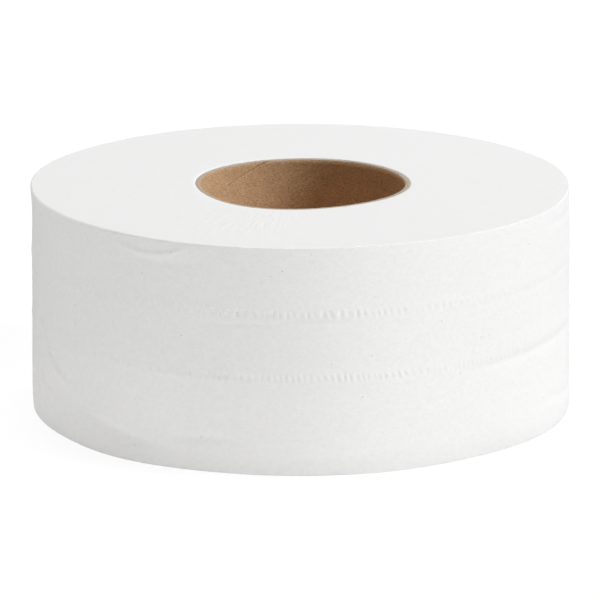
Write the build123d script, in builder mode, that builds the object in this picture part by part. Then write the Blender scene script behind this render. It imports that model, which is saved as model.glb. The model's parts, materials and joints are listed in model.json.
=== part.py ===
"""Jumbo toilet paper roll standing on its end: a long web of tissue wound on a paperboard core.

Millimetres, +Z up. The origin is on the roll's axis at its lower end. The roll is seen from -Y,
and the free end of the web lies at the back.
"""

from build123d import *
from math import asin, pi, tan
import os

# Wound web
roll_diameter = 218.0
roll_width = 90.0
sheet_caliper = 0.15
tail_angle = 118.0
rim_chamfer = 1.0

# Paperboard core, wound from plies of one thickness
core_bore = 83.8
core_ply = 0.5
core_ply_count = 4
ply_width = 99.0
seam_gap = 0.5
seam_top_angle = 108.0

# Spiral line that the turns show on both ends, in quarter turns
turn_line_quarters = 10
turn_line_width = 0.7
turn_line_depth = 0.35
turn_line_margin = 8.0

# Bands of crimps that bond the web's plies, pressed all round the web
lower_crimp_height = 38.6
upper_crimp_height = 63.8
lower_crimp_pitch = 2.5
upper_crimp_pitch = 2.95
crimp_length = 4.2
crimp_rise = 0.35
crimp_valley = 0.05

# How far cutters run past the surfaces that they cut
overrun = 2.0

roll_radius = roll_diameter / 2
bore_radius = core_bore / 2
core_radius = bore_radius + core_ply * core_ply_count


def toward(angle):
    """Horizontal direction at an angle from the free end of the web, counterclockwise from above."""
    return Vector(1, 0).rotate(Axis.Z, tail_angle + angle)


def end_plane(height):
    """Horizontal plane whose X axis points at the free end of the web."""
    return Plane(origin=(0, 0, height), x_dir=toward(0), z_dir=(0, 0, 1))


def winding_centre(quarter, pitch):
    """Centre of one quarter turn: the centres are the corners of a square, a quarter pitch wide."""
    across, up = ((1, -1), (1, 1), (-1, 1), (-1, -1))[quarter % 4]
    return Vector(across * pitch / 8, up * pitch / 8)


def winding_radius(quarter, outer_radius, pitch):
    """Radius of one quarter turn, counted inward from the outer end of the winding."""
    return outer_radius - quarter * pitch / 4


def outer_turn_point(angle, rise):
    """Point at an angle from the free end, the rise outside the outer turn."""
    quarter = int(angle // 90)
    radius = winding_radius(quarter, roll_radius, sheet_caliper) + rise
    return winding_centre(quarter, sheet_caliper) + Vector(radius, 0).rotate(Axis.Z, angle)


def crimp_outline(pitch):
    """Closed zigzag round the outer turn, a valley and a crest to each crimp."""
    crimp_count = round(pi * roll_diameter / pitch)
    step = 180 / crimp_count
    rises = (crimp_valley, crimp_rise)
    return [outer_turn_point(i * step, rises[i % 2]) for i in range(2 * crimp_count)]


# A spiral line on each end, cut as a narrow V that follows the winding by quarter turns
turn_line_outer = roll_radius - turn_line_margin
turn_line_inner = core_radius + turn_line_margin
turn_line_pitch = (turn_line_outer - turn_line_inner) / (turn_line_quarters / 4)
cutter_half_width = turn_line_width / 2 * (1 + overrun / turn_line_depth)
with BuildPart() as turn_line_cutter:
    for quarter in range(turn_line_quarters):
        centre = end_plane(0).from_local_coords(winding_centre(quarter, turn_line_pitch))
        radius = winding_radius(quarter, turn_line_outer, turn_line_pitch)
        across = toward(90 * quarter)
        with BuildSketch(Plane(origin=centre, x_dir=across, z_dir=across.rotate(Axis.Z, -90))):
            for end_height, outward in ((0, -1), (roll_width, 1)):
                with BuildLine():
                    Polyline(
                        (radius, end_height - outward * turn_line_depth),
                        (radius - cutter_half_width, end_height + outward * overrun),
                        (radius + cutter_half_width, end_height + outward * overrun),
                        close=True,
                    )
                make_face()
        revolve(axis=Axis(centre, (0, 0, 1)), revolution_arc=90)

# The wound web is one solid. Its outer turn ends in a step one sheet thick.
with BuildPart() as tissue_roll:
    with BuildSketch(end_plane(0)):
        with BuildLine():
            outer_turn = [
                CenterArc(
                    winding_centre(quarter, sheet_caliper),
                    winding_radius(quarter, roll_radius, sheet_caliper),
                    90 * quarter,
                    90,
                )
                for quarter in range(4)
            ]
            Line(outer_turn[-1] @ 1, outer_turn[0] @ 0)
        make_face()
    extrude(amount=roll_width)

    for crimp_height, crimp_pitch in (
        (lower_crimp_height, lower_crimp_pitch),
        (upper_crimp_height, upper_crimp_pitch),
    ):
        with BuildSketch(end_plane(crimp_height - crimp_length / 2)):
            with BuildLine():
                Polyline(*crimp_outline(crimp_pitch), close=True)
            make_face()
        extrude(amount=crimp_length)

    # Both rims lose their sharp corner
    with BuildSketch(Plane.XZ):
        for rim_height, outward in ((0, -1), (roll_width, 1)):
            with BuildLine():
                Polyline(
                    (roll_radius - rim_chamfer - overrun, rim_height + outward * overrun),
                    (roll_radius + overrun, rim_height + outward * overrun),
                    (roll_radius + overrun, rim_height - outward * (rim_chamfer + overrun)),
                    close=True,
                )
            make_face()
    revolve(axis=Axis.Z, mode=Mode.SUBTRACT)

    add(turn_line_cutter.part, mode=Mode.SUBTRACT)

    with BuildSketch():
        Circle(core_radius)
    extrude(amount=roll_width, mode=Mode.SUBTRACT)

# The innermost ply's edges don't quite meet, and leave a helical seam on the bore
seam_slope = asin(ply_width / (pi * core_bore))
seam_lead = pi * core_bore * tan(seam_slope)
seam_start_angle = seam_top_angle + 360 * (roll_width + overrun) / seam_lead
with BuildPart() as seam_cutter:
    with BuildLine() as seam:
        Helix(seam_lead, roll_width + 2 * overrun, bore_radius, center=(0, 0, -overrun), lefthand=True)
    with BuildSketch(Plane(origin=seam.line @ 0, x_dir=(1, 0, 0), z_dir=seam.line % 0)):
        Rectangle(2 * core_ply, seam_gap)
    sweep(path=seam.line, is_frenet=True)

# The core is one glued tube
with BuildPart() as core_tube:
    with BuildSketch():
        Circle(core_radius)
        Circle(bore_radius, mode=Mode.SUBTRACT)
    extrude(amount=roll_width)
    add(seam_cutter.part, rotation=(0, 0, seam_start_angle), mode=Mode.SUBTRACT)

tissue_roll.part.label = "tissue_roll"
core_tube.part.label = "core_tube"

os.makedirs("parts", exist_ok=True)
export_step(tissue_roll.part, "parts/tissue_roll.step")
export_step(core_tube.part, "parts/core_tube.step")
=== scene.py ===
"""Jumbo toilet paper roll standing on its end: soft white tissue wound on a kraft board core.

Metres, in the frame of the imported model, +Z up. The roll is seen from -Y. A front angle is measured
in degrees from -Y towards +X; a plain angle is in degrees from +X, counterclockwise from above.
"""

import json
import math

import bpy
import numpy as np
from mathutils import Euler, Matrix, Vector, noise


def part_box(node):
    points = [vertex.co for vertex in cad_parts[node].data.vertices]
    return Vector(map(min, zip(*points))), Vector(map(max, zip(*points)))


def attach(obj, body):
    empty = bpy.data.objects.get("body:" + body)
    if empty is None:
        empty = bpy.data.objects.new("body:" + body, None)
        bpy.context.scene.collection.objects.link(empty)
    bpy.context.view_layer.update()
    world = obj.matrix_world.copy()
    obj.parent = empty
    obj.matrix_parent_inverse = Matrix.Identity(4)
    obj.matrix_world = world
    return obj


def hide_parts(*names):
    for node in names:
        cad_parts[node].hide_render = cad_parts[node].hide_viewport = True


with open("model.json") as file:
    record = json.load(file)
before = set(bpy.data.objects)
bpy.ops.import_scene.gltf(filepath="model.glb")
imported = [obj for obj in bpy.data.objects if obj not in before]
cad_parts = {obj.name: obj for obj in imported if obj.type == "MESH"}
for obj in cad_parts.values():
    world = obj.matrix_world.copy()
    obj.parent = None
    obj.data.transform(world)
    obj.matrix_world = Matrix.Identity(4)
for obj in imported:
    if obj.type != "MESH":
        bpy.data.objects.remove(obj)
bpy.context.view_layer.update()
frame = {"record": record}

MM = 0.001

# Sizes that the frame gives
roll_low, roll_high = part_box("tissue_roll")
core_low, core_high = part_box("core_tube")
roll_height = roll_high.z - roll_low.z
core_outer = (core_high.x - core_low.x) / 2
core_bore = next(m for m in frame["record"]["mounts"] if m["name"] == "core_bore")
bore_radius = core_bore["dims"]["r_mm"] * MM

# The roll is a little wider at its foot than at its top. Its rims are rounded in rings at some
# angles, and the next ring lies close by
top_radius = 108.35 * MM
foot_radius = 109.55 * MM
rim_round = 0.20 * MM
rim_turns = (67.5, 45.0, 22.5)
rim_support = 0.30 * MM

# Slow undulation of the side: how many waves, how deep, the range of their periods round the roll,
# and how far they climb
side_waves = 9
side_wave = 0.09 * MM
side_wave_periods = (2, 12)
side_wave_climb = 2.0

# The top rim is rounder at the left and leans in a little, most at the right: front angle, half
# width in degrees and size
rim_soft = (-60.0, 40.0, 0.9 * MM)
rim_soft_reach = 3.0 * MM
rim_lean = (65.0, 30.0, 0.25 * MM)
rim_lean_least = 0.06 * MM
rim_lean_reach = 2.8 * MM

# The free end of the outer turn, at the back: a step one sheet thick that stands off a little over
# some degrees. The lift changes up the roll by (mean, change, rate), and the line wavers by some
# (degrees, rate, phase)
tail_angle = 118.0
tail_step = 0.15 * MM
tail_lift = 0.25 * MM
tail_lift_reach = 3.0
tail_lift_wave = (0.55, 0.45, 11.0)
tail_wobbles = ((0.35, 7.0, 0.6), (0.15, 19.0, 0.0))

# Columns round the roll: in the crimp bands, on the rest of the side and on the ends. They stand
# closer together at the front and closest at the free end: how much closer, and over which angle
fine_columns = 1440
side_columns = 720
end_columns = 360
front_density = 0.7
front_reach = 105.0
tail_density = 11.0
tail_spread = 1.2

# Rings on the ends, closer together near the hole, and the waves there: how many, how deep and how
# many radians to the metre
top_rings = 14
foot_rings = 6
end_crowding = 1.5
end_waves = 6
end_wave = 0.03 * MM
end_wave_rate = 22.0

# The relief of the side and that of the hole run on over the ends and fade over these distances
rim_blend = 6.0 * MM
hole_blend = 8.0 * MM

# Rows up the side in mm: from a height, the height of a row. The finest rows are the crimp bands'
fine_row = 0.62
row_zones = (
    (0.0, 0.95), (16.0, 1.45), (33.0, 0.66), (35.4, fine_row), (41.4, 1.45),
    (57.0, 0.66), (60.6, fine_row), (66.6, 1.45), (75.0, 0.80),
)

# Bands of crimps: height, pitch and the front angle where they fade, by how much and over how many
# degrees. A dent's length, its depth, the share of it that stands proud beside the dent, and its half
# width in pitches. The dents lie on a soft swell
crimp_bands = ((38.6 * MM, 2.46 * MM, 82.0), (63.8 * MM, 2.95 * MM, 95.0))
crimp_fade_share = 0.9
crimp_fade = 34.0
crimp_length = 2.1 * MM
crimp_depth = 0.72 * MM
crimp_proud = 0.4
crimp_width = 0.25
band_swell = 0.12 * MM
band_swell_width = 3.4 * MM

# How firmly the crimps are pressed: all round, and what is added as (front angle, half width in
# degrees, more)
crimp_press = 0.45
crimp_press_more = ((0.0, 28.0, 0.25), (-15.0, 9.0, 1.0))

# What differs from crimp to crimp. The pitch drifts in waves: their periods round the roll, and the
# least and most share of a pitch. Then the least and most of strength and of length, the mean and
# spread of the lean, and the spread of shifts up and along
crimp_drift_periods = (3, 7, 11, 19)
crimp_drift = (0.1, 0.3)
crimp_strength = (0.35, 1.15)
crimp_reach = (0.75, 1.1)
crimp_lean = (0.20, 0.12)
crimp_shift = 0.11 * MM
crimp_aside = 0.06

# Seeds of what is uneven by chance
side_seed = 5
end_seed = 8
crimp_seed = 60

# Wrinkles in the outer turns: three (front angle, height in mm) points that bend the line,
# then its rise and its width in mm. Each fades towards its ends by a power of a sine
wrinkle_samples = 25
wrinkle_fade = 0.6
front_wrinkles = (
    ((-42, 87), (-30.5, 79.2), (-22.5, 89.5), 0.45, 0.9),
    ((-37, 82), (-29, 79.5), (-18, 83), -0.20, 2.2),
    ((-78, 66), (-73, 60), (-66, 52), -0.45, 1.2),
    ((-76, 58), (-61, 9), (-47, 33), -0.85, 1.2),
    ((-78, 72), (-67, -2), (-42, 40), 0.45, 2.6),
    ((-83, 62), (-74, 4), (-56, 20), -0.60, 1.6),
    ((-88, 44), (-78, 8), (-64, 10), -0.50, 1.4),
    ((-27, 12.6), (-20, 14), (-13, 13), -0.70, 1.6),
    ((-54, 14), (-41, 10.0), (-25, 7.0), -0.80, 2.4),
    ((-12, 7.0), (4, 5.5), (26, 8.5), 0.16, 2.0),
    ((34, 35.4), (62, 37.0), (98, 34.5), -0.75, 2.1),
    ((-20, 59.1), (-5, 59.8), (12, 60.6), -0.30, 0.9),
    ((28, 60.2), (60, 63.0), (96, 61.0), -0.24, 1.3),
    ((64, 12.5), (76, 9.3), (98, 8.3), -0.60, 1.5),
    ((52, 14), (62, 11.5), (74, 13), -0.16, 1.4),
    ((64, 84), (76, 81.5), (98, 82.5), -0.60, 1.5),
    ((47, 43), (51, 44), (56, 43), 0.14, 1.6),
)
back_wrinkles = (
    ((104, 88), (112, 78), (121, 90), -0.18, 1.2),
    ((128, 24), (142, 12), (158, 20), -0.14, 2.2),
    ((150, 8), (172, 6), (196, 9), 0.14, 2.4),
    ((164, 52), (176, 47), (190, 51), -0.12, 1.6),
    ((214, 33), (228, 26), (244, 33), -0.14, 2.0),
    ((236, 84), (244, 77), (252, 86), -0.16, 1.2),
    ((98, 14), (110, 9), (122, 13), 0.12, 2.4),
)

# Proud lip of the top rim at the left: front angle, half width in degrees, rise and depth below
# the rim
lip_angle = -103.0
lip_spread = 22.0
lip_rise = 1.25 * MM
lip_reach = 5.5 * MM

# Foot: a swell all round as (rise, height, reach), a tuck at the floor as (depth, reach), and where
# the outer turns spread or draw in, as (front angle, half width in degrees, rise, height)
foot_swell = (0.25 * MM, 6.0 * MM, 7.0 * MM)
foot_tuck = (0.15 * MM, 2.2 * MM)
foot_spreads = (
    (-40, 14, 1.5 * MM, 4.5 * MM),
    (35, 12, -1.1 * MM, 14.0 * MM),
    (-96, 14, -0.9 * MM, 12.0 * MM),
    (64, 12, 0.8 * MM, 14.0 * MM),
)

# The hole isn't quite central or round: waves round it as (number, cosine, sine) in mm. Its edges
# are rounded in rings at some angles. The turns sink a little beside it at the front left
hole_waves = ((1, 0.38, -0.60), (2, -0.48, 0.12), (3, 0.45, 0.28), (4, 0.0, -0.45))
hole_round = 0.35 * MM
hole_turns = (30.0, 60.0, 90.0)
dip_angle = 250.0
dip_spread = 42.0
dip_depth = 0.35 * MM
dip_reach = 5.0 * MM

# Ripples across the turns' edges there: middle, inner and outer reach, scale of the pattern, how
# far it is drawn out round and across the turns, and depth
ripple_place = (-29 * MM, -64 * MM)
ripple_reach = (10 * MM, 42 * MM)
ripple_scale = 600
ripple_stretch = (0.060, 0.16)
ripple_depth = 0.28 * MM

# Core: how far its ends lie inside the web's, how much and which way the upper one leans, by a power
# of the height, its rounded edges, its play in the web's hole, and its columns and rows
core_recess = 0.3 * MM
core_lean = 0.28 * MM
core_lean_angle = 200.0
core_lean_power = 4
core_round = 0.25 * MM
core_play = 0.03 * MM
core_columns = 240
core_rows = 60
core_edge_bands = 6

# Helical butt seam of the inner ply, with the columns closer together by a share near it
seam_top_angle = 108.0
seam_lead = 107.0 * MM
seam_width = 0.75 * MM
seam_depth = 0.90 * MM
seam_crowding = 0.93
seam_crowding_spread = 0.022

# Wear of the core's cut ends: scale of the pattern, how far it reaches in from the end, and how far
# it goes sideways and up
wear_scale = 26
wear_reach = 0.6 * MM
wear_sideways = 0.12 * MM
wear_up = 0.16 * MM

# Colours: two tones for each pattern, for its low and its high values
cloud_tones = ((0.867, 0.867, 0.863), (0.906, 0.905, 0.901))
thread_tones = ((0.945, 0.945, 0.945), (1.0, 1.0, 1.0))
speck_tones = ((1.0, 1.0, 1.0), (0.66, 0.62, 0.58))
turn_tones = ((0.868, 0.867, 0.864), (0.892, 0.891, 0.888))
veil_tones = ((0.985, 0.985, 0.985), (1.0, 1.0, 1.0))
board_tones = ((0.765, 0.505, 0.292), (0.88, 0.598, 0.360))
grain_tones = ((0.50, 0.47, 0.44), (1.0, 1.0, 1.0))
cut_edge_tones = ((0.36, 0.295, 0.225), (0.56, 0.475, 0.385))

# Camera that sees the roll as the photograph does
camera_place = (0.0, -1668.6 * MM, 486.5 * MM)
camera_pitch = -14.956
camera_yaw = 0.0115
camera_roll = -0.08
camera_lens = 254.8
camera_sensor = 36.0
camera_near = 0.1

# Floor: how white it is for the light on the roll, its glow and shaded share where the camera sees
# it, and a gap below the roll so that the two faces never coincide
floor_white = 0.60
floor_glow = 0.91
floor_shade = 0.12
floor_gap = 0.05 * MM
floor_reach = 6.0

# Sky: the light that it gives the roll
sky_level = 0.08

# Lamps: name, front angle, elevation, distance, (width, height), level and tint
plain_light = (1.0, 1.0, 1.0)
warm_light = (1.0, 0.995, 0.975)
lamps = (
    ("key", 80.5, 36, 5.0, (1.94, 1.3), 0.742, plain_light),
    ("above", 180, 78, 4.0, (1.0, 1.0), 0.485, plain_light),
    ("back_fill", -128, 1.2, 2.6, (1.2, 0.1), 0.228, warm_light),
    ("left_fill", -40, 1.2, 2.6, (1.2, 0.1), 0.285, warm_light),
    ("front_fill", 0, 1.2, 2.6, (1.2, 0.1), 0.169, plain_light),
    ("right_fill", 50, 1.2, 2.6, (1.2, 0.1), 0.077, plain_light),
)

# Beams that light the foot: name, front angle, elevation, distance, (width, height), level and half
# spread in degrees. They look at one height on the axis
beam_aim = -19.0 * MM
beams = (
    ("left_foot_fill", -58, 10, 1.2, (0.16, 0.03), 0.19, 3.0),
    ("front_foot_fill", 18, 10, 1.2, (0.32, 0.03), 0.20, 2.4),
)


# Humps and angles

def bell(distance, width):
    """Smooth hump, 1 at no distance and nearly gone at twice the width."""
    return np.exp(-(distance / width) ** 2)


def turn_about(angle, middle):
    """Angle from the middle, between -180 and 180."""
    return (angle - middle + 180) % 360 - 180


def front_angle(angle):
    """A plain angle as a front angle between -180 and 180."""
    return turn_about(angle, -90)


# Relief of the side

def undulation(angle, height):
    """Slow undulation round and up the roll, as a sum of seeded sine waves."""
    draw = np.random.default_rng(side_seed)
    total = 0
    for _ in range(side_waves):
        around = draw.integers(*side_wave_periods)
        upward = draw.uniform(-side_wave_climb, side_wave_climb) * math.tau * height / roll_height
        phase = draw.uniform(0, 360)
        total = total + np.sin(np.radians(around * angle + phase) + upward)
    return side_wave * total / math.sqrt(side_waves)


def wrinkle_line(points):
    """Points along a wrinkle, as (front angle, height): a curve bent by its middle point."""
    start, middle, end = (np.array(p, float) for p in points)
    t = np.linspace(0, 1, wrinkle_samples)[:, None]
    return (1 - t) ** 2 * start + 2 * t * (1 - t) * middle + t ** 2 * end


def wrinkle(angle, height, points, rise, width):
    """Height of one wrinkle over the side: it fades towards its two ends."""
    degree = math.radians(1) * top_radius / MM
    line = wrinkle_line(points)
    middle = line[len(line) // 2, 0]
    line[:, 0] = (line[:, 0] - middle) * degree
    x = turn_about(front_angle(angle), middle) * degree
    y = height / MM
    share = np.zeros(x.shape)
    if y.min() > line[:, 1].max() + 3 * width or y.max() < line[:, 1].min() - 3 * width:
        return share
    best = np.full(x.shape, np.inf)
    for i, (start, step) in enumerate(zip(line[:-1], np.diff(line, axis=0))):
        t = np.clip(((x - start[0]) * step[0] + (y - start[1]) * step[1]) / (step @ step), 0, 1)
        far = np.hypot(x - start[0] - t * step[0], y - start[1] - t * step[1])
        share = np.where(far < best, (i + t) / (len(line) - 1), share)
        best = np.minimum(far, best)
    return rise * MM * np.sin(math.pi * share) ** wrinkle_fade * bell(best, width)


def crimps(angle, height, middle, pitch, pressed, seed):
    """Relief of one band of crimps: slanted, uneven dents in a soft swell."""
    draw = np.random.default_rng(seed)
    count = round(math.tau * top_radius / pitch)
    number = angle / 360 * count
    for around in crimp_drift_periods:
        drift = draw.uniform(*crimp_drift)
        number = number + drift * np.sin(np.radians(around * angle + draw.uniform(0, 360)))
    strength = draw.uniform(*crimp_strength, count)
    shift = draw.normal(0, crimp_shift, count)
    reach = draw.uniform(*crimp_reach, count) * crimp_length / 2
    lean = draw.normal(*crimp_lean, count)
    aside = draw.normal(0, crimp_aside, count)
    dent = np.floor(number).astype(int) % count
    above = height - middle - shift[dent]
    along = number - np.floor(number) - 0.5 + aside[dent] + lean[dent] * above / pitch
    span = 1 / (1 + np.abs(above / reach[dent]) ** 6)
    swell = band_swell * bell(height - middle, band_swell_width)
    depth = crimp_depth * pressed * strength[dent] * span
    return swell - depth * (bell(along, crimp_width) - crimp_proud)


def band_rise(angle, height):
    """Relief of all bands of crimps, which are pressed unevenly round the roll."""
    front = front_angle(angle)
    pressed = crimp_press
    for middle, spread, more in crimp_press_more:
        pressed = pressed + more * bell(turn_about(front, middle), spread)
    rise = 0
    for i, (middle, pitch, faded) in enumerate(crimp_bands):
        fade = 1 - crimp_fade_share * np.exp(-(turn_about(front, faded) / crimp_fade) ** 4)
        rise = rise + crimps(angle, height, middle, pitch, pressed * fade, crimp_seed + i)
    return rise


def tail_rise(angle, height):
    """The outer turn thins by one sheet round the roll and ends in a step that stands off."""
    up = height / roll_height
    wobble = sum(size * np.sin(up * rate + phase) for size, rate, phase in tail_wobbles)
    past = (angle - tail_angle - wobble) % 360
    mean, change, rate = tail_lift_wave
    lift = tail_lift * np.exp(-past / tail_lift_reach) * (mean + change * np.sin(up * rate))
    return tail_step * (0.5 - past / 360) + lift


def rim_rise(front, height):
    """The top rim's lip at the left, less its lean inward."""
    below_top = np.maximum(roll_height - height, 0)
    lip = lip_rise * bell(turn_about(front, lip_angle), lip_spread) * bell(below_top, lip_reach)
    middle, spread, most = rim_lean
    lean = rim_lean_least + most * bell(turn_about(front, middle), spread)
    return lip - lean * np.exp(-below_top / rim_lean_reach)


def foot_rise(front, height):
    """The foot's swell and tuck, and where the outer turns spread or draw in."""
    most, middle, reach = foot_swell
    depth, tuck_reach = foot_tuck
    rise = most * bell(height - middle, reach) - depth * np.exp(-height / tuck_reach)
    for middle, spread, most, reach in foot_spreads:
        rise = rise + most * bell(turn_about(front, middle), spread) * bell(height, reach)
    return rise


def side_rise(angle, height):
    """All relief of the side, outward from the plain tapered roll."""
    front = front_angle(angle)
    rise = undulation(angle, height) + tail_rise(angle, height) + band_rise(angle, height)
    for *points, lift, width in front_wrinkles + back_wrinkles:
        rise = rise + wrinkle(angle, height, points, lift, width)
    return rise + rim_rise(front, height) + foot_rise(front, height)


# Rings and meshes

def column_angles():
    """Angles of the finest columns, counted from the free end."""
    past = np.linspace(0, 360, 10 * fine_columns + 1)
    density = 1 + front_density / (1 + (front_angle(tail_angle + past) / front_reach) ** 12)
    density = density + tail_density * bell(turn_about(past, 0), tail_spread)
    share = np.concatenate(([0], np.cumsum(density[1:] + density[:-1])))
    return tail_angle + np.interp(np.arange(fine_columns) / fine_columns, share / share[-1], past)


def side_heights():
    """Heights of the side's rings with their numbers of columns: close rows in the crimp bands."""
    rings = [(rim_round, side_columns)]
    height = rim_round + rim_support
    while height < roll_height - rim_round - 2 * rim_support:
        row = next(row for start, row in reversed(row_zones) if height >= start * MM)
        rings.append((height, fine_columns if row == fine_row else side_columns))
        height += row * MM
    rings.append((roll_height - rim_round - rim_support, side_columns))
    rings.append((roll_height - rim_round, side_columns))
    return rings


def end_radii(outer, count):
    """Radii of an end's rings from the rim to the hole's rounded edge, closer near the hole."""
    inner = core_outer + hole_round
    radii = [inner + (outer - inner) * (i / count) ** end_crowding for i in range(count, -1, -1)]
    return [outer, outer - rim_support] + radii[1:]


def hole_edge(height, upward):
    """Rings that turn from an end down into the hole, given in that order."""
    rings = []
    for a in np.radians(hole_turns):
        radius = core_outer + hole_round * (1 - math.sin(a))
        inside = height - upward * hole_round * (1 - math.cos(a))
        rings.append((radius, inside, 0.0, upward, end_columns))
    return rings


def roll_profile():
    """Rings round the roll's section, from the core outward below, up the side and back above.

    Each is (radius, height, outward share, upward share, columns).
    """
    corners = np.radians(rim_turns)
    foot_end = foot_radius - rim_round
    top_end = top_radius - rim_round
    rings = hole_edge(0.0, -1.0)[::-1]
    for radius in reversed(end_radii(foot_end, foot_rings)):
        rings.append((radius, 0.0, 0.0, -1.0, end_columns))
    for a in corners:
        ring = (foot_end + rim_round * math.cos(a), rim_round * (1 - math.sin(a)))
        rings.append((*ring, math.cos(a), -math.sin(a), side_columns))
    for height, columns in side_heights():
        share = height / roll_height
        rings.append((foot_radius + (top_radius - foot_radius) * share, height, 1.0, 0.0, columns))
    for a in reversed(corners):
        ring = (top_end + rim_round * math.cos(a), roll_height - rim_round * (1 - math.sin(a)))
        rings.append((*ring, math.cos(a), math.sin(a), side_columns))
    for radius in end_radii(top_end, top_rings):
        rings.append((radius, roll_height, 0.0, 1.0, end_columns))
    return rings + hole_edge(roll_height, 1.0)


def hole_offset(angle):
    """How far the hole's wall lies beyond a centred circle."""
    offset = 0
    for number, cosine, sine in hole_waves:
        turn = np.radians(number * angle)
        offset = offset + MM * (cosine * np.cos(turn) + sine * np.sin(turn))
    return offset


def top_rise(angle, radius):
    """Relief of the upper end: a slow wave, and a dip beside the hole."""
    draw = np.random.default_rng(end_seed)
    x = radius * np.cos(np.radians(angle))
    y = radius * np.sin(np.radians(angle))
    rise = 0
    for _ in range(end_waves):
        across = draw.normal(0, end_wave_rate, 2)
        rise = rise + np.sin(across[0] * x + across[1] * y + draw.uniform(0, math.tau))
    near_hole = np.exp((core_outer - radius) / dip_reach)
    return end_wave * rise - dip_depth * bell(turn_about(angle, dip_angle), dip_spread) * near_hole


def rim_softness(angle):
    """Extra rounding of the top rim."""
    middle, spread, most = rim_soft
    return most * bell(turn_about(front_angle(angle), middle), spread)


def ring_points(ring, angles):
    """Vertices of one ring, moved out by the relief of the side and up by that of the upper end."""
    radius, height, outward, upward, columns = ring
    angle = angles[:: fine_columns // columns]
    upper = height > roll_height / 2
    rim = top_radius if upper else foot_radius
    towards_rim = 1.0 if outward else np.exp((radius - rim) / rim_blend)
    towards_hole = 0.0 if outward else np.exp((core_outer - radius) / hole_blend)
    side = side_rise(angle, np.full_like(angle, height))
    r = radius + side * towards_rim + hole_offset(angle) * towards_hole
    z = np.full_like(angle, height)
    if upper:
        soft = rim_softness(angle)
        r = r - soft * (1 - outward) * towards_rim
        z = z + top_rise(angle, radius) * upward
        below_rim = max(roll_height - rim_round - height, 0)
        z = z - soft * (1 - upward) * np.exp(-below_rim / rim_soft_reach)
    x = r * np.cos(np.radians(angle))
    y = r * np.sin(np.radians(angle))
    return np.stack((x, y, z), axis=1)


def join_rings(first_count, second_count, first, second):
    """Faces between two rings that start at given vertices, five-sided where the columns double."""
    faces = []
    for i in range(min(first_count, second_count)):
        j = (i + 1) % min(first_count, second_count)
        k = 2 * i
        if first_count == second_count:
            faces.append((first + i, first + j, second + j, second + i))
        elif first_count < second_count:
            halfway = (second + (k + 2) % second_count, second + k + 1, second + k)
            faces.append((first + i, first + j, *halfway))
        else:
            halfway = (first + k, first + k + 1, first + (k + 2) % first_count)
            faces.append((*halfway, second + j, second + i))
    return faces


def loop_mesh(name, counts, points, materials, material_of):
    """Closed mesh of rings, the last joined to the first. A band's number gives its material's."""
    starts = np.concatenate(([0], np.cumsum(counts)))
    faces = []
    slots = []
    for i in range(len(counts)):
        j = (i + 1) % len(counts)
        band = join_rings(counts[i], counts[j], int(starts[i]), int(starts[j]))
        faces += band
        slots += [material_of(i)] * len(band)
    mesh = bpy.data.meshes.new(name)
    mesh.from_pydata(points.tolist(), [], faces)
    for material in materials:
        mesh.materials.append(material)
    mesh.polygons.foreach_set("material_index", slots)
    mesh.polygons.foreach_set("use_smooth", [True] * len(faces))
    mesh.update()
    piece = bpy.data.objects.new(name, mesh)
    bpy.context.scene.collection.objects.link(piece)
    return piece


def make_roll():
    """The wound tissue as one closed piece."""
    rings = roll_profile()
    angles = column_angles()
    points = np.concatenate([ring_points(ring, angles) for ring in rings])
    points[:, 2] -= points[:, 2].min()
    counts = [columns for *_, columns in rings]
    ends = {i for i in range(len(rings) - 1) if rings[i][2] == 0 and rings[i + 1][2] == 0}
    piece = loop_mesh(
        "tissue_winding", counts, points, (tissue_side_material(), tissue_end_material()),
        lambda i: 1 if i in ends or i == len(rings) - 1 else 0,
    )
    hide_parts("tissue_roll")
    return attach(piece, "root")


def core_profile():
    """Rings round the core's section: up the outer wall, down the bore and back underneath."""
    low, high = core_recess, roll_height - core_recess
    outer, inner = core_outer - core_play, bore_radius
    heights = np.linspace(low + core_round, high - core_round, core_rows + 1)
    corner = core_round * (1 - math.cos(math.radians(45)))
    rings = [(outer, height) for height in heights[::2]]
    rings += [(outer - corner, high - corner), (outer - core_round, high)]
    rings += [((outer + inner) / 2, high)]
    rings += [(inner + core_round, high), (inner + corner, high - corner)]
    rings += [(inner, height) for height in heights[::-1]]
    rings += [(inner + corner, low + corner), (inner + core_round, low)]
    rings += [((outer + inner) / 2, low)]
    rings += [(outer - core_round, low), (outer - corner, low + corner)]
    return rings


def core_angles():
    """Angles of the core's columns from the seam, close together at the seam."""
    place = np.arange(core_columns) / core_columns
    near = np.minimum(place, 1 - place)
    step = 1 - seam_crowding * bell(near, seam_crowding_spread)
    edges = np.concatenate(([0], np.cumsum(step)))
    return 360 * edges[:-1] / edges[-1]


def core_points(radius, height):
    """Vertices of one ring of the core, its columns turned along with the seam."""
    offsets = core_angles()
    degrees = offsets + seam_top_angle + 360 * (roll_height - height) / seam_lead
    angle = np.radians(degrees)
    r = radius + hole_offset(degrees)
    if radius == bore_radius:
        from_seam = np.radians(turn_about(offsets, 0)) * bore_radius
        r = r + seam_depth / (1 + np.abs(from_seam / (seam_width / 2)) ** 6)
    places = [Vector((math.cos(a), math.sin(a), height / roll_height)) for a in angle]
    ragged = np.array([noise.noise(place * wear_scale) for place in places])
    ragged = ragged * math.exp(-(min(height, roll_height - height) - core_recess) / wear_reach)
    if radius < (core_outer + bore_radius) / 2:
        r = r + ragged * wear_sideways
    z = height + ragged * wear_up * (1 if height > roll_height / 2 else -1)
    lean = np.cos(np.radians(degrees - core_lean_angle)) * (height / roll_height) ** core_lean_power
    return np.stack((r * np.cos(angle), r * np.sin(angle), z - core_lean * lean), axis=1)


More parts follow.
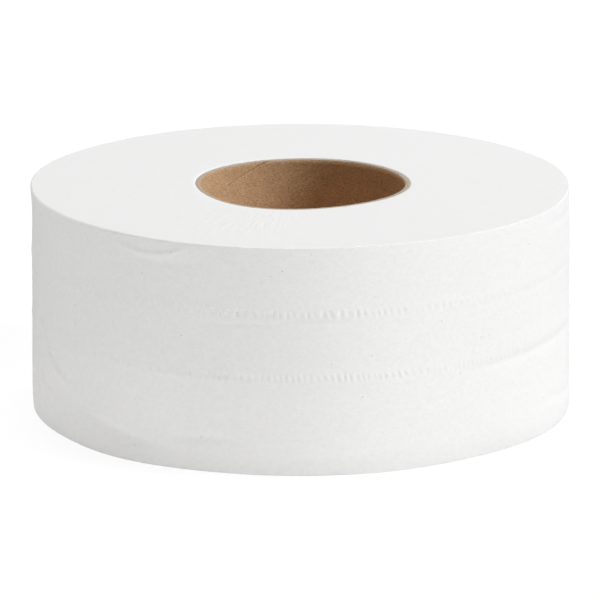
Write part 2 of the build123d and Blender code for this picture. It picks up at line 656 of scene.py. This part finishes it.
def make_core():
    """The wound board tube, with its seam and slightly ragged cut edges."""
    rings = core_profile()
    points = np.concatenate([core_points(radius, height) for radius, height in rings])
    top_band = range(core_rows // 2, core_rows // 2 + core_edge_bands)
    foot_band = range(len(rings) - core_edge_bands, len(rings))
    piece = loop_mesh(
        "core_board", [core_columns] * len(rings), points, (kraft_material(), cut_edge_material()),
        lambda i: 1 if i in top_band or i in foot_band else 0,
    )
    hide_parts("core_tube")
    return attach(piece, "root")


# Materials

def new_material(name):
    """An empty node material with its Principled shader."""
    material = bpy.data.materials.new(name)
    material.use_nodes = True
    nodes = material.node_tree.nodes
    return material, nodes, material.node_tree.links, nodes["Principled BSDF"]


def object_place(nodes, links, scale):
    """Object coordinates stretched by a scale along each axis."""
    place = nodes.new("ShaderNodeTexCoord")
    stretch = nodes.new("ShaderNodeMapping")
    stretch.inputs["Scale"].default_value = scale
    links.new(place.outputs["Object"], stretch.inputs["Vector"])
    return stretch.outputs["Vector"]


def noise_field(nodes, links, vector, scale, detail=3.0, rough=0.55):
    """Noise that is about 0.5 on average."""
    field = nodes.new("ShaderNodeTexNoise")
    field.inputs["Scale"].default_value = scale
    field.inputs["Detail"].default_value = detail
    field.inputs["Roughness"].default_value = rough
    links.new(vector, field.inputs["Vector"])
    return field.outputs["Fac"]


def ramp(nodes, links, value, low, high, tones):
    """The first tone up to a low value, the second from a high value on, and a blend between."""
    node = nodes.new("ShaderNodeValToRGB")
    for element, place, tone in zip(node.color_ramp.elements, (low, high), tones):
        element.position = place
        element.color = (*tone, 1.0)
    links.new(value, node.inputs["Fac"])
    return node.outputs["Color"]


def maths(nodes, links, operation, first, second):
    """One math step on values or numbers."""
    node = nodes.new("ShaderNodeMath")
    node.operation = operation
    for socket, value in zip(node.inputs, (first, second)):
        if isinstance(value, (int, float)):
            socket.default_value = value
        else:
            links.new(value, socket)
    return node.outputs[0]


def multiply_colours(nodes, links, first, second):
    """One colour darkened by another."""
    node = nodes.new("ShaderNodeMix")
    node.data_type = "RGBA"
    node.blend_type = "MULTIPLY"
    node.inputs["Factor"].default_value = 1.0
    links.new(first, node.inputs["A"])
    links.new(second, node.inputs["B"])
    return node.outputs["Result"]


def bump(nodes, links, height, distance, strength, before=None):
    """Normal bent by a height field."""
    node = nodes.new("ShaderNodeBump")
    node.inputs["Distance"].default_value = distance
    node.inputs["Strength"].default_value = strength
    links.new(height, node.inputs["Height"])
    if before is not None:
        links.new(before, node.inputs["Normal"])
    return node.outputs["Normal"]


def specks(nodes, links, vector, scale, size, share):
    """1 in rare small specks and 0 elsewhere."""
    cells = nodes.new("ShaderNodeTexVoronoi")
    cells.inputs["Scale"].default_value = scale
    links.new(vector, cells.inputs["Vector"])
    split = nodes.new("ShaderNodeSeparateColor")
    links.new(cells.outputs["Color"], split.inputs["Color"])
    chosen = maths(nodes, links, "LESS_THAN", split.outputs[0], share)
    inside = maths(nodes, links, "LESS_THAN", cells.outputs["Distance"], size)
    return maths(nodes, links, "MULTIPLY", chosen, inside)


def tissue_side_material():
    """Soft tissue with a cloudy, fibrous face and a few dark specks."""
    material, nodes, links, shader = new_material("tissue_side")
    plain = object_place(nodes, links, (1, 1, 1))
    lying = object_place(nodes, links, (0.6, 0.6, 1.4))
    cloud = noise_field(nodes, links, plain, scale=560, detail=4.0, rough=0.6)
    fibre = noise_field(nodes, links, lying, scale=1500, detail=4.0, rough=0.65)
    dark = specks(nodes, links, plain, scale=260, size=0.062, share=0.20)
    tone = ramp(nodes, links, cloud, 0.3, 0.7, cloud_tones)
    thread = ramp(nodes, links, fibre, 0.3, 0.7, thread_tones)
    speck = ramp(nodes, links, dark, 0.0, 1.0, speck_tones)
    colour = multiply_colours(nodes, links, multiply_colours(nodes, links, tone, thread), speck)
    links.new(colour, shader.inputs["Base Color"])
    soft = bump(nodes, links, cloud, distance=0.6 * MM, strength=0.08)
    fine = bump(nodes, links, fibre, distance=0.3 * MM, strength=0.12, before=soft)
    links.new(fine, shader.inputs["Normal"])
    shader.inputs["Roughness"].default_value = 0.95
    shader.inputs["Specular IOR Level"].default_value = 0.15
    shader.inputs["Sheen Weight"].default_value = 0.08
    return material


def polar_place(nodes, links, around, outward):
    """Angle about the axis in radians and distance from it, each times a factor."""
    place = nodes.new("ShaderNodeTexCoord")
    split = nodes.new("ShaderNodeSeparateXYZ")
    links.new(place.outputs["Object"], split.inputs["Vector"])
    x, y = split.outputs["X"], split.outputs["Y"]
    squares = [maths(nodes, links, "POWER", value, 2.0) for value in (x, y)]
    distance = maths(nodes, links, "SQRT", maths(nodes, links, "ADD", *squares), 0.0)
    angle = maths(nodes, links, "ARCTAN2", y, x)
    join = nodes.new("ShaderNodeCombineXYZ")
    links.new(maths(nodes, links, "MULTIPLY", angle, around), join.inputs["X"])
    links.new(maths(nodes, links, "MULTIPLY", distance, outward), join.inputs["Y"])
    return join.outputs["Vector"]


def near_place(nodes, links, middle, inner, outer):
    """1 within the inner distance of a place and 0 beyond the outer one."""
    place = nodes.new("ShaderNodeTexCoord")
    away = nodes.new("ShaderNodeVectorMath")
    away.operation = "DISTANCE"
    links.new(place.outputs["Object"], away.inputs[0])
    away.inputs[1].default_value = middle
    fade = nodes.new("ShaderNodeMapRange")
    fade.interpolation_type = "SMOOTHSTEP"
    for name, value in (("From Min", inner), ("From Max", outer), ("To Min", 1.0), ("To Max", 0.0)):
        fade.inputs[name].default_value = value
    links.new(away.outputs["Value"], fade.inputs["Value"])
    return fade.outputs["Result"]


def tissue_end_material():
    """Cut edges of the turns: very smooth, with faint rings and a puckered patch."""
    material, nodes, links, shader = new_material("tissue_end")
    plain = object_place(nodes, links, (1, 1, 1))
    round_about = polar_place(nodes, links, around=0.0, outward=1.0)
    drawn_out = polar_place(nodes, links, *ripple_stretch)
    turns = noise_field(nodes, links, round_about, scale=900, detail=4.0, rough=0.7)
    ripples = noise_field(nodes, links, drawn_out, scale=ripple_scale, detail=2.0, rough=0.5)
    cloud = noise_field(nodes, links, plain, scale=260)
    tone = ramp(nodes, links, turns, 0.2, 0.8, turn_tones)
    veil = ramp(nodes, links, cloud, 0.2, 0.8, veil_tones)
    links.new(multiply_colours(nodes, links, tone, veil), shader.inputs["Base Color"])
    fine = bump(nodes, links, turns, distance=0.4 * MM, strength=0.12)
    soft = bump(nodes, links, cloud, distance=0.6 * MM, strength=0.12, before=fine)
    puckered = near_place(nodes, links, (*ripple_place, roll_height), *ripple_reach)
    raised = maths(nodes, links, "MULTIPLY", ripples, puckered)
    rippled = bump(nodes, links, raised, distance=ripple_depth, strength=1.0, before=soft)
    links.new(rippled, shader.inputs["Normal"])
    shader.inputs["Roughness"].default_value = 0.95
    shader.inputs["Specular IOR Level"].default_value = 0.15
    return material


def kraft_material():
    """Brown board with a fine speckle of fibres."""
    material, nodes, links, shader = new_material("kraft_board")
    plain = object_place(nodes, links, (1, 1, 1))
    lying = object_place(nodes, links, (1, 1, 3))
    cloud = noise_field(nodes, links, plain, scale=160)
    fibre = noise_field(nodes, links, lying, scale=1100, detail=4.0, rough=0.7)
    tone = ramp(nodes, links, cloud, 0.2, 0.8, board_tones)
    grain = ramp(nodes, links, fibre, 0.34, 0.60, grain_tones)
    links.new(multiply_colours(nodes, links, tone, grain), shader.inputs["Base Color"])
    coarse = bump(nodes, links, fibre, distance=0.4 * MM, strength=0.3)
    links.new(coarse, shader.inputs["Normal"])
    shader.inputs["Roughness"].default_value = 0.8
    shader.inputs["Specular IOR Level"].default_value = 0.25
    return material


def cut_edge_material():
    """Paler, greyer edge where the board was cut."""
    material, nodes, links, shader = new_material("kraft_cut_edge")
    plain = object_place(nodes, links, (1, 1, 1))
    fibre = noise_field(nodes, links, plain, scale=1500, detail=4.0, rough=0.7)
    links.new(ramp(nodes, links, fibre, 0.2, 0.8, cut_edge_tones), shader.inputs["Base Color"])
    coarse = bump(nodes, links, fibre, distance=0.4 * MM, strength=0.5)
    links.new(coarse, shader.inputs["Normal"])
    shader.inputs["Roughness"].default_value = 0.9
    shader.inputs["Specular IOR Level"].default_value = 0.2
    return material


# Stage: floor, light and camera

def seen_directly(nodes, links):
    """1 for rays that come straight, by gloss or through glass from the camera."""
    path = nodes.new("ShaderNodeLightPath")
    total = maths(nodes, links, "ADD", path.outputs["Is Camera Ray"], path.outputs["Is Glossy Ray"])
    total = maths(nodes, links, "ADD", total, path.outputs["Is Transmission Ray"])
    return maths(nodes, links, "MINIMUM", total, 1.0)


def floor_material():
    """White that keeps a soft shadow: it glows a little where the camera sees it."""
    material, nodes, links, shader = new_material("floor")
    shader.inputs["Base Color"].default_value = (floor_white, floor_white, floor_white, 1.0)
    shader.inputs["Roughness"].default_value = 1.0
    shader.inputs["Specular IOR Level"].default_value = 0.0
    glow = nodes.new("ShaderNodeEmission")
    glow.inputs["Strength"].default_value = floor_glow
    pale = nodes.new("ShaderNodeBsdfDiffuse")
    pale.inputs["Color"].default_value = (floor_shade, floor_shade, floor_shade, 1.0)
    seen = nodes.new("ShaderNodeAddShader")
    links.new(glow.outputs["Emission"], seen.inputs[0])
    links.new(pale.outputs["BSDF"], seen.inputs[1])
    choose = nodes.new("ShaderNodeMixShader")
    links.new(seen_directly(nodes, links), choose.inputs["Fac"])
    links.new(shader.outputs["BSDF"], choose.inputs[1])
    links.new(seen.outputs["Shader"], choose.inputs[2])
    links.new(choose.outputs["Shader"], nodes["Material Output"].inputs["Surface"])
    return material


def make_floor():
    """Wide floor just below the roll."""
    mesh = bpy.data.meshes.new("floor")
    square = ((-1, -1), (1, -1), (1, 1), (-1, 1))
    corners = [(x * floor_reach, y * floor_reach, -floor_gap) for x, y in square]
    mesh.from_pydata(corners, [], [(0, 1, 2, 3)])
    mesh.materials.append(floor_material())
    floor = bpy.data.objects.new("floor", mesh)
    bpy.context.scene.collection.objects.link(floor)


def make_world():
    """White where the camera sees it, a dimmer sky for the light on the roll."""
    world = bpy.data.worlds.new("studio")
    world.use_nodes = True
    nodes, links = world.node_tree.nodes, world.node_tree.links
    sky = nodes["Background"]
    sky.inputs["Color"].default_value = (sky_level, sky_level, sky_level, 1.0)
    white = nodes.new("ShaderNodeBackground")
    white.inputs["Color"].default_value = (1.0, 1.0, 1.0, 1.0)
    choose = nodes.new("ShaderNodeMixShader")
    links.new(seen_directly(nodes, links), choose.inputs["Fac"])
    links.new(sky.outputs["Background"], choose.inputs[1])
    links.new(white.outputs["Background"], choose.inputs[2])
    links.new(choose.outputs["Shader"], nodes["World Output"].inputs["Surface"])
    bpy.context.scene.world = world


def make_lamp(name, front, elevation, distance, size, level, tint, aim):
    """Area lamp that looks at a height on the axis. Level 1 alone would show white as white."""
    light = bpy.data.lights.new(name, "AREA")
    light.shape = "RECTANGLE"
    light.size, light.size_y = size
    light.energy = level * (math.pi * distance) ** 2
    light.color = tint
    lamp = bpy.data.objects.new(name, light)
    bpy.context.scene.collection.objects.link(lamp)
    a, e = math.radians(front), math.radians(elevation)
    back = Vector((math.sin(a) * math.cos(e), -math.cos(a) * math.cos(e), math.sin(e)))
    lamp.location = Vector((0, 0, aim)) + back * distance
    lamp.rotation_mode = "QUATERNION"
    lamp.rotation_quaternion = back.to_track_quat("Z", "Y")
    lamp.visible_camera = False
    return light


def make_beam(name, front, elevation, distance, size, level, half_spread):
    """Narrow lamp that lights only what is near its beam, at the same level in its middle."""
    light = make_lamp(name, front, elevation, distance, size, level, plain_light, beam_aim)
    half = math.radians(half_spread)
    light.spread = 2 * half
    light.energy *= 1 - half / math.tan(half)


def make_camera():
    """Long lens, a little above the roll."""
    camera = bpy.data.objects.new("camera", bpy.data.cameras.new("camera"))
    bpy.context.scene.collection.objects.link(camera)
    camera.data.lens = camera_lens
    camera.data.sensor_width = camera_sensor
    camera.data.clip_start = camera_near
    tilt = Euler((math.radians(90 + camera_pitch), 0, math.radians(camera_yaw))).to_matrix()
    turn = tilt @ Matrix.Rotation(math.radians(camera_roll), 3, "Z")
    camera.matrix_world = Matrix.Translation(camera_place) @ turn.to_4x4()
    bpy.context.scene.camera = camera


make_camera()
make_roll()
make_core()
make_floor()
make_world()
for lamp in lamps:
    make_lamp(*lamp, aim=roll_height / 2)
for beam in beams:
    make_beam(*beam)
bpy.context.scene.view_settings.view_transform = "Standard"
